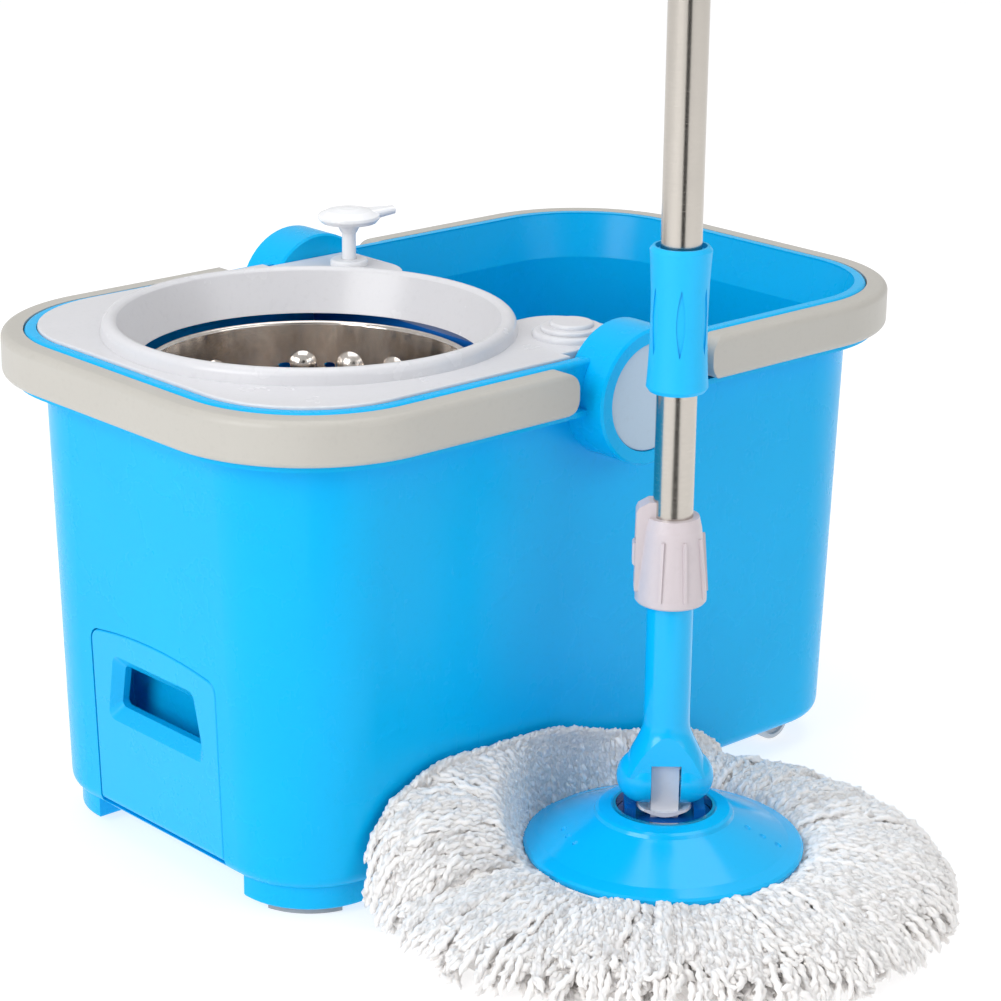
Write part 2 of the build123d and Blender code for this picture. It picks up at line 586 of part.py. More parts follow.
def make_pump_barrel():
    """The pump's fixed cylinder: a cup with a port in its floor and an inlet stub below."""
    barrel = rod(PUMP_HOLE_R - 0.2, PUMP_LOW, DECK_TOP, PUMP_X, PUMP_Y)
    barrel -= rod(PUMP_BORE_R, PUMP_FLOOR_Z, DECK_TOP + 1, PUMP_X, PUMP_Y)
    stub = rod(STUB_R, STUB_LOW, PUMP_LOW + 1, PUMP_X, PUMP_Y)
    return barrel + stub - rod(STUB_BORE_R, STUB_LOW - 1, PUMP_FLOOR_Z + 1, PUMP_X, PUMP_Y)


def make_dip_tube():
    return Pos(PUMP_X, PUMP_Y, 0) * pipe(STUB_BORE_R - 0.05, 1.6, DIP_LOW, PUMP_LOW)


def make_pump_spring():
    """The return spring, drawn as the sleeve that its coils fill."""
    return Pos(PUMP_X, PUMP_Y, 0) * pipe(SPRING_R, SPRING_BORE_R, PUMP_FLOOR_Z + 0.2, SPRING_HIGH)


def make_pump_plunger():
    """Stem, piston and domed head with a pouring beak towards the wash side."""
    head_z, piston_z = PUMP_HEAD_Z, SPRING_HIGH + 0.2
    stem = rod(PUMP_STEM_R, piston_z + 2, head_z) + rod(PUMP_BORE_R - 0.2, piston_z, piston_z + 3)
    throat = turned([(0, head_z - 6), (4.4, head_z - 6), (7.5, head_z), (0, head_z)])
    dome = turned([(0, head_z - 1), (15.5, head_z), (17.6, head_z + 2.4), (17.2, head_z + 4.2),
                   (12, head_z + 6.6), (6, head_z + 7.8), (0, head_z + 8.2)])
    dome = fillet(dome.edges().filter_by(GeomType.CIRCLE).sort_by(Axis.Z)[1:3], 0.8)
    beak = loft([Plane.YZ.offset(6) * Pos(0, head_z + 3.0) * RectangleRounded(15, 6.4, 3.0),
                 Plane.YZ.offset(BEAK_REACH) * Pos(0, head_z + 4.8) * RectangleRounded(7.0, 4.0, 1.9)])
    beak = Rot(0, 0, BEAK_TURN) * beak
    return Pos(PUMP_X, PUMP_Y, 0) * (stem + throat + dome + beak)


def make_reservoir():
    """A slim soap box under the deck, with a neck up to the filler and one to the pump."""
    x0, x1, half, wall = SOAP_X0, SOAP_X1, SOAP_HALF, SOAP_T
    low, high, neck_top = SOAP_LOW, SOAP_HIGH, DECK_TOP - DECK_T
    box = block(x0, x1, -half, half, low, high)
    box = fillet(box.edges().filter_by(Axis.Z), 5.0)
    cap_bore, pump_bore = CAP_HOLE_R + 0.1, PUMP_HOLE_R + 1
    necks = [(CAP_X, CAP_Y, cap_bore + SOAP_T, cap_bore), (PUMP_X, PUMP_Y, pump_bore + SOAP_T, pump_bore)]
    for x, y, outer, _ in necks:
        box += rod(outer, high - 1, neck_top, x, y)
    hollow = block(x0 + wall, x1 - wall, -half + wall, half - wall, low + wall, high - wall)
    box -= hollow
    for x, y, _, inner in necks:
        box -= rod(inner, high - wall - 1, neck_top + 1, x, y)
    return box


# ---------- mop head ----------
def make_plate():
    """The conical plate with a raised centre, a hub recess and dimples."""
    hub = HUB_RECESS_R
    profile = [(70, PLATE_LOW), (71.4, PLATE_LOW), (PLATE_R, 28.4), (PLATE_R, 30.0), (70.8, 31.2),
               (64, 33.4), (38, 45.6), (36, 46.6), (35.2, 48.4), (33.6, 49.2), (hub + 1, 50.4),
               (hub, 49.8), (hub, HUB_FLOOR_Z + 2.2), (6.1, HUB_FLOOR_Z + 2.2), (6.1, HUB_FLOOR_Z),
               (27.5, HUB_FLOOR_Z), (31, 43.6), (36, 43.6), (63, 31.0), (69, 29.4)]
    plate = turned(profile)
    marks = [(r, -15) for r in (44, 52, 60)] + [(52, 188 + step) for step in (0, 10, 20)]
    slope = (45.6 - 33.4) / (64 - 38)
    dimples = [Pos(r * math.cos(a), r * math.sin(a), 46.4 - (r - 38) * slope) * Sphere(2.0)
               for r, a in ((r, math.radians(degrees)) for r, degrees in marks)]
    return plate - dimples


def make_bearing_ring():
    return pipe(HUB_RECESS_R, HUB_RECESS_R - 1.4, HUB_FLOOR_Z + 2.4, BEARING_TOP)


def make_yarn_ring():
    return pipe(YARN_RING_R, YARN_RING_BORE, PLATE_LOW - 0.7, PLATE_LOW + 3.6)


def make_yarn():
    """The yarn pad: a low round heap, pushed up in a ridge where it meets the bucket's side wall."""
    foot_r, hole_r, under = YARN_REACH - 3, PLATE_R + 1.6, PLATE_LOW - 1.2
    profile = Spline((foot_r, 0, 0), (YARN_REACH, 0, 7), (146, 0, 18), (122, 0, 29),
                     (95, 0, YARN_TOP), (80, 0, YARN_TOP - 1))
    rest = Polyline((80, 0, YARN_TOP - 1), (hole_r, 0, under + 2.2), (hole_r, 0, under), (0, 0, under),
                    (0, 0, 0), (foot_r, 0, 0))
    heap = revolve(make_face([profile, rest]), Axis.Z)
    first, last = RIDGE_CREST[0][0], RIDGE_CREST[-1][0]
    high = max(r for _, r in RIDGE_CREST)
    closing = Polyline(RIDGE_CREST[-1], (last, 0), (first, 0), RIDGE_CREST[0])
    crest = make_face([Spline(*RIDGE_CREST), closing])
    ridge = Pos(0, YARN_WALL_Y + RIDGE_SET, 0) * revolve(crest, Axis.X)
    ridge &= block(first, last, 0, YARN_WALL_Y, 0, high)
    ridge -= rod(hole_r, under, high + 5)
    heap &= block(-YARN_REACH - 5, YARN_REACH + 5, -YARN_REACH - 5, YARN_WALL_Y, -1, YARN_TOP + 5)
    return (heap + ridge).clean()


def make_swivel_hub():
    """The turntable that carries the pivot, with a cradle under each fork cheek."""
    hub = rod(HUB_R, HUB_FLOOR_Z + 2.7, HUB_TOP_Z)
    hub += rod(6.04, HUB_FLOOR_Z - 0.6, HUB_FLOOR_Z + 3)
    for s in (-1, 1):
        cradle = block(s * CRADLE_IN, s * CRADLE_OUT, -9, 9, HUB_TOP_Z - 0.5, HUB_TOP_Z + 6.3)
        hub += cradle - rod_x(14.6, s * 8, s * 22, 0, PIVOT_Z)
    return hub - rod(FOOT_SCREW_R, HUB_FLOOR_Z - 2, FOOT_SCREW_TOP)


def make_hub_screw():
    low = HUB_FLOOR_Z - 0.6
    head = rod(9.0, low - 2.6, low)
    head = fillet(ring_edges(head, low - 2.6), 1.0)
    return head + rod(FOOT_SCREW_R, low, FOOT_SCREW_TOP)


def make_pivot_lug():
    """The white upright that the fork straddles, with its dished foot."""
    stem = block(-LUG_HALF, LUG_HALF, -LUG_HALF_Y, LUG_HALF_Y, HUB_TOP_Z, PIVOT_Z + LUG_ABOVE_PIN)
    stem = fillet(stem.edges().filter_by(Axis.X).group_by(Axis.Z)[-1], 1.5)
    z = HUB_TOP_Z
    foot = turned([(0, z), (6.5, z), (8.5, z + 1.1), (14.2, z + 4.7), (13.4, z + 5.7), (8, z + 3.3),
                   (0, z + 3.3)])
    foot &= block(-15, 15, -9, 9, z - 5, PIVOT_Z)
    foot -= [block(s * 9.2, s * 20, -20, 20, z - 5, z + 3.9) for s in (-1, 1)]
    return stem + foot - rod_x(PIN_R, -10, 10, 0, PIVOT_Z)


def make_fork():
    """Shank, concave flare and two rounded cheeks with a slot for the lug."""
    top, low = FLARE_TOP, FLARE_LOW
    flare = Spline((SHANK_R, 0, top), (13.4, 0, top - 8), (18.2, 0, top - 18), (FLARE_R, 0, low),
                   tangents=[(0, 0, -1), (0.45, 0, -1)])
    rest = Polyline((FLARE_R, 0, low), (0, 0, low), (0, 0, SHANK_TOP), (SHANK_R, 0, SHANK_TOP),
                    (SHANK_R, 0, top))
    fork = revolve(make_face([flare, rest]), Axis.Z)
    fork &= block(-30, 30, -FORK_HALF_Y, FORK_HALF_Y, low - 1, SHANK_TOP + 1)
    for s in (-1, 1):
        cheek = Pos(s * CHEEK_X, 0, PIVOT_Z) * Sphere(CHEEK_R)
        fork += cheek & block(s * 5, s * 26, -CHEEK_R, CHEEK_R, PIVOT_Z - CHEEK_R, FLARE_LOW + 14)
    fork -= block(-SLOT_HALF, SLOT_HALF, -20, 20, HUB_TOP_Z, PIVOT_Z + SLOT_ABOVE_PIN)
    fork -= rod_x(PIN_R + PIN_GAP, -22.4, 22.4, 0, PIVOT_Z)
    fork -= rod(CLUTCH_R, CLUTCH_LOW, INNER_LOW)
    return fork - rod(INNER_R, INNER_LOW - 0.1, SHANK_TOP + 1)


def make_pivot_pin():
    return rod_x(PIN_R, -22, 22, 0, PIVOT_Z)


def make_clutch():
    floor_z = JOURNAL_LOW - 0.4
    sleeve = pipe(CLUTCH_R, JOURNAL_R + JOURNAL_GAP, floor_z, INNER_LOW)
    return sleeve + rod(CLUTCH_R, CLUTCH_LOW, floor_z + 0.2)


def make_inner_tube():
    return pipe(INNER_R, INNER_R - INNER_T, INNER_LOW, INNER_HIGH)


# ---------- mop pole ----------
def twisted_prism(width, thick, z0, z1):
    """A flat bar twisted one turn per pitch, in phase with height 'BAR_LOW'."""
    start = 360 * (z0 - BAR_LOW) / PITCH
    turn = 360 * (z1 - z0) / PITCH
    section = Rot(0, 0, start) * Rectangle(width, thick)
    return Pos(0, 0, z0) * Solid.extrude_linear_with_rotation(
        section.face(), center=(0, 0, 0), normal=(0, 0, z1 - z0), angle=turn)


def make_drive_spindle():
    bar = twisted_prism(BAR_W, BAR_T, BAR_LOW, BAR_HIGH)
    return rod(JOURNAL_R, JOURNAL_LOW, BAR_LOW + 1) + bar


def make_drive_nut():
    nut = rod(TUBE_R - TUBE_T, NUT_LOW, NUT_LOW + NUT_H)
    slot = twisted_prism(BAR_W + 2 * BAR_GAP, BAR_T + 2 * BAR_GAP, NUT_LOW - 1, NUT_LOW + NUT_H + 1)
    return nut - slot


def make_guide_bush():
    return pipe(TUBE_R, INNER_R + 0.06, COLLAR_LOW + 1.6, TUBE_LOW - 0.1)


def make_collar():
    """The ribbed lock collar with the slider's housing on its side."""
    body = turned([(0, COLLAR_LOW), (COLLAR_LOW_R - 0.8, COLLAR_LOW), (COLLAR_LOW_R, COLLAR_LOW + 1),
                   (COLLAR_LOW_R, COLLAR_LOW + 4), (COLLAR_HIGH_R, COLLAR_HIGH - 6),
                   (COLLAR_HIGH_R - 1.4, COLLAR_HIGH), (0, COLLAR_HIGH)])
    fin = make_face(Polyline((-8, 168), (-18.6, 168), (-18.3, 209), (-17.2, 211.5), (-12, 214.5),
                             (-8, 214.5), close=True))
    body += extrude(Plane.XZ * fin, 5.4, both=True)
    rib_h = COLLAR_HIGH - 14 - COLLAR_LOW
    for a in (-110, -70, -30, 10, 50, 90, 130):
        rib = Pos(15.6, 0, COLLAR_LOW + 4 + rib_h / 2) * Rot(0, -4.5, 0) * Box(4.4, 1.5, rib_h)
        body += Rot(0, 0, a) * rib
    body -= rod(TUBE_R, COLLAR_LOW + 1.6, COLLAR_HIGH + 20)
    body -= rod(INNER_R + 0.3, COLLAR_LOW - 1, COLLAR_LOW + 2)
    return body - block(-21, -16.2, -3.9, 3.9, 180, 203)


def make_lock_slider():
    slider = block(-19.8, -16.4, -3.7, 3.7, 181, 193)
    return chamfer(slider.edges().group_by(Axis.X)[0], 0.8)


def make_lower_tube():
    return pipe(TUBE_R, TUBE_R - TUBE_T, TUBE_LOW, TUBE_JOINT)


def make_upper_tube():
    return pipe(TUBE_R, TUBE_R - TUBE_T, TUBE_JOINT + 0.2, TUBE_HIGH)


def flared_sleeve(low, high, end_r, waist_r, bore):
    """A sleeve with a waist, swelling to rounded ends."""
    middle = (low + high) / 2
    side = ThreePointArc((end_r, 0, low + 2), (waist_r, 0, middle), (end_r, 0, high - 2))
    rest = Polyline((end_r, 0, high - 2), (end_r - 1.4, 0, high), (bore, 0, high),
                    (bore, 0, low), (end_r - 1.4, 0, low), (end_r, 0, low + 2))
    return revolve(make_face([side, rest]), Axis.Z)


def make_mid_grip():
    grip = flared_sleeve(GRIP_LOW, GRIP_HIGH, GRIP_R, GRIP_WAIST_R, TUBE_R)
    grip -= rod(12.6, GRIP_HIGH - 2.5, GRIP_HIGH + 1)
    half = 17.0
    middle = (GRIP_LOW + GRIP_HIGH) / 2
    lens = make_face([ThreePointArc((0, -half), (2.2, 0), (0, half)),
                      ThreePointArc((0, half), (-2.2, 0), (0, -half))])
    for i in range(6):
        groove = extrude(Plane.XZ.offset(GRIP_WAIST_R - 0.7) * Pos(0, middle) * lens, 4)
        grip -= Rot(0, 0, 60 * i) * groove
    return grip


def make_twist_lock():
    """The twist collar that clamps the telescopic top tube."""
    lock = turned([(TUBE_R + 0.06, LOCK_LOW), (LOCK_R - 1, LOCK_LOW), (LOCK_R, LOCK_LOW + 1.5),
                   (LOCK_R, LOCK_HIGH - 8), (11.6, LOCK_HIGH), (TOP_TUBE_R + 0.15, LOCK_HIGH),
                   (TOP_TUBE_R + 0.15, TUBE_HIGH + 0.6), (TUBE_R + 0.06, TUBE_HIGH + 0.6)])
    flutes = [Pos(x, y, z) * Cylinder(1.8, 30)
              for x, y, z, _ in around(12, LOCK_R + 0.8, LOCK_LOW + 19)]
    return lock - flutes


def make_top_tube():
    return pipe(TOP_TUBE_R, TOP_TUBE_R - 0.6, TOP_TUBE_LOW, TOP_TUBE_HIGH)


def make_top_grip():
    grip = turned([(TOP_TUBE_R, TOP_GRIP_LOW), (12, TOP_GRIP_LOW), (12.6, TOP_GRIP_LOW + 2),
                   (TOP_GRIP_R, TOP_GRIP_LOW + 30), (TOP_GRIP_R, TOP_GRIP_HIGH - 20),
                   (12.8, TOP_GRIP_HIGH), (0, TOP_GRIP_HIGH), (0, TOP_TUBE_HIGH),
                   (TOP_TUBE_R, TOP_TUBE_HIGH)])
    for i in range(14):
        groove_z = TOP_GRIP_LOW + 14 + 6 * i
        grip -= Pos(0, 0, groove_z) * Torus(TOP_GRIP_R + 0.8, 1.5)
    return grip


def make_hanging_loop():
    """The flat eye that hangs the mop on a hook, on a cap over the grip, square to the bucket."""
    cap = rod(EYE_R, TOP_GRIP_HIGH, TOP_GRIP_HIGH + 5)
    eye_z = LOOP_HIGH - EYE_R
    eye = Pos(0, 0, eye_z) * Rot(90, 0, 0) * Cylinder(EYE_R, 7)
    neck = block(-9, 9, -3.5, 3.5, TOP_GRIP_HIGH + 3, eye_z)
    hole = Pos(0, 0, eye_z) * Rot(90, 0, 0) * Cylinder(EYE_HOLE_R, 9)
    return Rot(0, 0, -MOP_TURN) * (cap + neck + eye - hole)


# ---------- build and write ----------
def bucket_nodes():
    return {
        "tub": make_tub(),
        "badge_discs": make_badges(),
        "handle_pins": make_handle_pins(),
        "carry_handle_left": make_handle(-1),
        "carry_handle_right": make_handle(1),
        "foot_pads": make_foot_pads(),
        "tow_handle": make_tow_handle(),
        "tow_handle_pin": make_tow_pin(),
        "wheel_near": make_wheel(-1),
        "wheel_far": make_wheel(1),
        "wheel_axle": make_wheel_axle(),
        "basket_post": make_post(),
        "post_screws": make_post_screws(),
        "basket_spindle": make_spindle_pin(),
        "thrust_washer": make_thrust_washer(),
        "basket_hub": make_basket_hub(),
        "spin_basket": make_basket(),
        "splash_deck": make_deck(),
        "filler_cap": make_filler_cap(),
        "pump_collar": make_pump_collar(),
        "pump_barrel": make_pump_barrel(),
        "pump_dip_tube": make_dip_tube(),
        "pump_spring": make_pump_spring(),
        "pump_plunger": make_pump_plunger(),
        "soap_reservoir": make_reservoir(),
    }


def head_nodes():
    return {
        "mop_plate": make_plate(),
        "bearing_ring": make_bearing_ring(),
        "yarn_ring": make_yarn_ring(),
        "swivel_hub": make_swivel_hub(),
        "hub_screw": make_hub_screw(),
        "pivot_lug": make_pivot_lug(),
        "fork": make_fork(),
        "pivot_pin": make_pivot_pin(),
        "clutch": make_clutch(),
        "inner_tube": make_inner_tube(),
        "drive_spindle": make_drive_spindle(),
        "drive_nut": make_drive_nut(),
        "guide_bush": make_guide_bush(),
        "lock_collar": make_collar(),
        "lock_slider": make_lock_slider(),
        "lower_tube": make_lower_tube(),
        "upper_tube": make_upper_tube(),
        "mid_grip": make_mid_grip(),
        "twist_lock": make_twist_lock(),
        "top_tube": make_top_tube(),
        "top_grip": make_top_grip(),
        "hanging_loop": make_hanging_loop(),
    }


def solids_of(item):
    parts = item if isinstance(item, list) else [item]
    return [solid for part in parts for solid in part.solids()]


def write(nodes, place):
    for name, item in nodes.items():
        solids = [place * solid for solid in solids_of(item)]
        export_step(Compound(children=solids) if len(solids) > 1 else solids[0], f"parts/{name}.step")


def main():
    os.makedirs("parts", exist_ok=True)
    write(bucket_nodes(), Pos(0, BUCKET_Y, 0))
    write(head_nodes(), Pos(MOP_X, MOP_Y, 0) * Rot(0, 0, MOP_TURN))
    write({"mop_yarn": make_yarn()}, Pos(MOP_X, MOP_Y, 0))


main()
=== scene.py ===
import json
import math

import bpy
import numpy as np
from mathutils import Matrix, Vector
from mathutils.bvhtree import BVHTree


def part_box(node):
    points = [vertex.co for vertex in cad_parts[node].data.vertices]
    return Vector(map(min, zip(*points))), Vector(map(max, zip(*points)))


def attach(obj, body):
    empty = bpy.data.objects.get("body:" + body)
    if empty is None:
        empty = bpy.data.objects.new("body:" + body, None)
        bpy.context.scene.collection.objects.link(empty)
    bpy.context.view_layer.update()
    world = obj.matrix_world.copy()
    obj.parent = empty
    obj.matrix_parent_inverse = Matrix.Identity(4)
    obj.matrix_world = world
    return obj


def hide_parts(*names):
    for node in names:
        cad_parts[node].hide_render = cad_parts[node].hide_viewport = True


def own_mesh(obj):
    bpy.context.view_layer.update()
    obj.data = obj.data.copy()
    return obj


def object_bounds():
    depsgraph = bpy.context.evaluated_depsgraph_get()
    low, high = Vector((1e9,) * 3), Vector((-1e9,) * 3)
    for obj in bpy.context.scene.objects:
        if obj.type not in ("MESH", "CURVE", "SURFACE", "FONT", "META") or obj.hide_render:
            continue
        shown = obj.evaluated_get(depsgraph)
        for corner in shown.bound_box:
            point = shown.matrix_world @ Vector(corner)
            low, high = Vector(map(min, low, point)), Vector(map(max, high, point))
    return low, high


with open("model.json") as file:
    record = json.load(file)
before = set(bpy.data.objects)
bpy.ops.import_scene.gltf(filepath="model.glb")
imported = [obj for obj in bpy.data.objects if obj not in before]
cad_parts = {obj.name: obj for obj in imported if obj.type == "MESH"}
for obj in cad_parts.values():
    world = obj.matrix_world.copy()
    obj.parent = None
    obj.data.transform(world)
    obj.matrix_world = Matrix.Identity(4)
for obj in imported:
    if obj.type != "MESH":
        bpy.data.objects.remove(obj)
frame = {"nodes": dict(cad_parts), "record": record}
CAD_LOW, CAD_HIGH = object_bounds()

# --- camera, in metres and degrees, in the row frame ---
CAMERA_AT = Vector((-1.0424, -1.0717, 0.6779))
CAMERA_YAW, CAMERA_DOWN, CAMERA_ROLL = -42.51, 18.33, 0.695
CAMERA_LENS = 107.43

# --- yarn strands: size, and how they wander ---
STRAND_R = 0.0024
STRAND_PITCH = 0.0105
STRAND_SIDES = 8
STRAND_STEP = 0.0019
SWAY, WAVE, SWING = (0.0007, 0.0017), (0.013, 0.022), (0.16, 0.34)
LUMP_EVERY, LUMP, PLY = 0.0021, 0.13, 0.26
CURL_FROM = 0.82

# --- yarn heap: locks of strands in layers, given as depth, inset and strands per lock ---
LOCKS = 46
YARN_LAYERS = ((0.0120, -0.002, 11), (0.0065, 0.000, 13), (0.0028, 0.002, 14), (0.0, 0.005, 14))
CURLS = 620
YARN_SECTORS = 12
YARN_SEED = 7
CORE_SINK, CORE_INSET, CORE_TUCK, CORE_EDGE = 0.0065, 0.014, 0.006, 0.010
CORE_RINGS, CORE_SIDES = 26, 120
LOBES, LOBE_DIP, LOBE_INSET, GROOVE_POWER = 16, 0.0045, 0.009, 1.5
FRONT_ANGLE, FRONT_SHORTER = math.radians(227.5), 0.011

# --- yarn beside the plate and up the bucket's wall ---
CLIMB, WALL_CLIMB, RIM_TUCK = 1.15, 9.0, 0.0005
WALL_BAND, BAND_PROBE, WALL_PLAY, SLIDE_MIX = 0.0048, 0.002, 0.0008, 0.9

# --- pump spring ---
COIL_TURNS, COIL_WIRE_R, COIL_SIDES, COIL_STEPS = 7, 0.0005, 8, 32

# --- studio ---
FLOOR_HALF, FLOOR_DROP, FLOOR_GLOW = 12.0, 0.0002, 0.70
AIM = (0.0, 0.0, 0.15)
# the studio is darker behind the camera: cosines where the dark starts and is full, and both light levels
DARK_SIDE = (0.86, 0.97, 0.55, 0.16)
FLAG_TURN, FLAG_NEAR, FLAG_AWAY, FLAG_HALF, FLAG_HIGH = 4.0, 0.42, 1.0, 0.2, 1.0


def srgb(r, g, b):
    """A colour given as 0-255 screen values, as the linear values that shaders use."""
    return tuple(((c / 255 + 0.055) / 1.055) ** 2.4 if c > 10 else c / 255 / 12.92 for c in (r, g, b))


# ---------- materials ----------
class Shader:
    """A Principled material built up from small procedural steps."""

    def __init__(self, name):
        self.material = bpy.data.materials.new(name)
        self.material.use_nodes = True
        self.tree = self.material.node_tree
        self.bsdf = self.tree.nodes["Principled BSDF"]
        self.place = self.tree.nodes.new("ShaderNodeTexCoord").outputs["Object"]
        self.normal = None

    def node(self, kind, **inputs):
        made = self.tree.nodes.new(kind)
        for key, value in inputs.items():
            socket = made.inputs[key.replace("_", " ")]
            if isinstance(value, bpy.types.NodeSocket):
                self.tree.links.new(value, socket)
            else:
                socket.default_value = value
        return made

    def set(self, **inputs):
        for key, value in inputs.items():
            socket = self.bsdf.inputs[key.replace("_", " ")]
            if isinstance(value, bpy.types.NodeSocket):
                self.tree.links.new(value, socket)
            else:
                socket.default_value = value
        return self

    def stretched(self, scale):
        """Object coordinates scaled differently along each axis."""
        return self.node("ShaderNodeMapping", Vector=self.place, Scale=scale).outputs["Vector"]

    def noise(self, scale, detail=4.0, rough=0.55, place=None):
        made = self.node("ShaderNodeTexNoise", Vector=place or self.place, Scale=scale,
                         Detail=detail, Roughness=rough)
        return made.outputs["Fac"]

    def between(self, factor, low, high, clip_low=0.3, clip_high=0.7):
        """A number that runs from low to high as factor runs from clip_low to clip_high."""
        made = self.node("ShaderNodeMapRange", Value=factor)
        for key, value in zip(("From Min", "From Max", "To Min", "To Max"),
                              (clip_low, clip_high, low, high)):
            made.inputs[key].default_value = value
        return made.outputs["Result"]

    def blend(self, factor, colour_a, colour_b):
        made = self.tree.nodes.new("ShaderNodeMix")
        made.data_type = "RGBA"
        self.tree.links.new(factor, made.inputs["Factor"])
        for index, colour in ((6, colour_a), (7, colour_b)):
            if isinstance(colour, bpy.types.NodeSocket):
                self.tree.links.new(colour, made.inputs[index])
            else:
                made.inputs[index].default_value = (*colour, 1.0)
        return made.outputs[2]

    def bump(self, height, strength, distance):
        made = self.node("ShaderNodeBump", Height=height, Strength=strength, Distance=distance)
        if self.normal is not None:
            self.tree.links.new(self.normal, made.inputs["Normal"])
        self.normal = made.outputs["Normal"]
        self.set(Normal=self.normal)
        return self


def scaled(colour, factor):
    return tuple(min(1.0, c * factor) for c in colour)


def plastic(name, colour, rough, grain=1500.0, grain_strength=0.12, ripple=0.1, scuffs=0.25, gloss=0.5):
    """Moulded plastic: faint shade drift, sink ripple, fine grain, and hairline scuffs that dull it."""
    s = Shader(name)
    drift = s.noise(9.0, 3.0)
    base = s.blend(s.between(drift, 0, 1), scaled(colour, 0.97), scaled(colour, 1.02))
    specks = s.noise(320.0, 2.0)
    base = s.blend(s.between(specks, 0, 0.35, 0.55, 0.75), base, scaled(colour, 0.90))
    scuff_lines = s.noise(14.0, 6.0, 0.7, s.stretched((60.0, 9.0, 7.0)))
    scuff = s.between(scuff_lines, 0, scuffs * 0.2, 0.55, 0.8)
    rough_drift = s.between(s.noise(26.0, 4.0), rough - 0.03, rough + 0.05)
    total = s.node("ShaderNodeMath", Value=rough_drift)
    s.tree.links.new(scuff, total.inputs[1])
    s.set(Base_Color=base, Roughness=total.outputs[0])
    s.bump(s.noise(7.0, 2.0), ripple, 0.0012)
    s.bump(s.noise(grain, 2.0), grain_strength, 0.00012)
    s.bsdf.inputs["IOR"].default_value = 1.49
    s.bsdf.inputs["Specular IOR Level"].default_value = gloss
    return s


def glow_through(shader, colour, weight, radius):
    """Lets light bleed a little through thin plastic."""
    shader.set(Subsurface_Weight=weight, Subsurface_Scale=radius)
    shader.bsdf.inputs["Subsurface Radius"].default_value = colour
    return shader


def brushed(name, colour, rough, stretch, fine=420.0, strength=0.3):
    """Metal with fine parallel brush lines, water marks and fingerprints."""
    s = Shader(name)
    lines = s.noise(fine, 6.0, 0.7, s.stretched(stretch))
    marks = s.noise(30.0, 5.0, 0.6)
    tint = s.blend(s.between(lines, 0, 1), scaled(colour, 0.88), scaled(colour, 1.08))
    tint = s.blend(s.between(marks, 0, 0.25, 0.5, 0.75), tint, scaled(colour, 0.8))
    base_rough = s.between(lines, rough - 0.06, rough + 0.08)
    s.set(Base_Color=tint, Metallic=1.0, Roughness=base_rough)
    return s.bump(lines, strength, 0.00006)


def polished_sheet():
    """Pressed stainless sheet: bright, faintly drawn, with drip marks from hard water."""
    s = Shader("pressed_steel")
    colour = srgb(226, 219, 212)
    drawn = s.noise(160.0, 5.0, 0.6, s.stretched((1.0, 1.0, 0.12)))
    drops = s.node("ShaderNodeTexVoronoi", Vector=s.place, Scale=210.0).outputs["Distance"]
    drip = s.between(drops, 0.3, 0, 0.0, 0.28)
    tint = s.blend(s.between(drawn, 0, 1), scaled(colour, 0.88), scaled(colour, 1.05))
    tint = s.blend(drip, tint, scaled(colour, 0.78))
    s.set(Base_Color=tint, Metallic=1.0, Roughness=s.between(s.noise(45.0, 5.0), 0.10, 0.24))
    s.bump(s.noise(18.0, 3.0), 0.25, 0.0012)
    return s.bump(drawn, 0.15, 0.00008)


def rubber(name, colour):
    """Matt rubber with a coarse moulded texture and floor dust."""
    s = Shader(name)
    dust = s.between(s.noise(60.0, 6.0, 0.7), 0, 0.5, 0.45, 0.7)
    s.set(Base_Color=s.blend(dust, colour, scaled(colour, 1.5)), Roughness=s.between(dust, 0.72, 0.9, 0, 1))
    return s.bump(s.noise(700.0, 3.0), 0.5, 0.0003)


def yarn_material():
    """Twisted microfibre: soft white fibres with a fine lay along the ply, and sheen."""
    s = Shader("microfibre_yarn")
    white = srgb(255, 252, 249)
    tufts = s.noise(240.0, 6.0, 0.7)
    patches = s.noise(22.0, 3.0)
    base = s.blend(s.between(tufts, 0, 1), srgb(248, 243, 240), white)
    base = s.blend(s.between(patches, 0, 0.35), base, srgb(252, 248, 246))
    s.set(Base_Color=base, Roughness=0.92, Sheen_Weight=0.5, Sheen_Roughness=0.5,
          Subsurface_Weight=0.5, Subsurface_Scale=0.003)
    s.bsdf.inputs["Subsurface Radius"].default_value = (1.0, 0.95, 0.9)
    s.bsdf.inputs["Specular IOR Level"].default_value = 0.2
    fibres = s.noise(1900.0, 3.0, 0.7)
    s.bump(tufts, 0.55, 0.0010)
    return s.bump(fibres, 0.6, 0.0004)


BLUE = srgb(2, 180, 240)
PLATE_BLUE = srgb(8, 184, 244)
GRIP_BLUE = srgb(24, 186, 246)
DEEP_BLUE = srgb(4, 92, 172)
HANDLE = srgb(187, 184, 177)
DECK = srgb(215, 215, 219)
BADGE = srgb(178, 199, 217)
WHITE = srgb(240, 241, 244)
COLLAR = srgb(206, 196, 200)
NYLON = srgb(226, 227, 232)
RUBBER = srgb(150, 155, 160)
WHEEL = srgb(196, 199, 203)
STEEL = srgb(198, 192, 184)


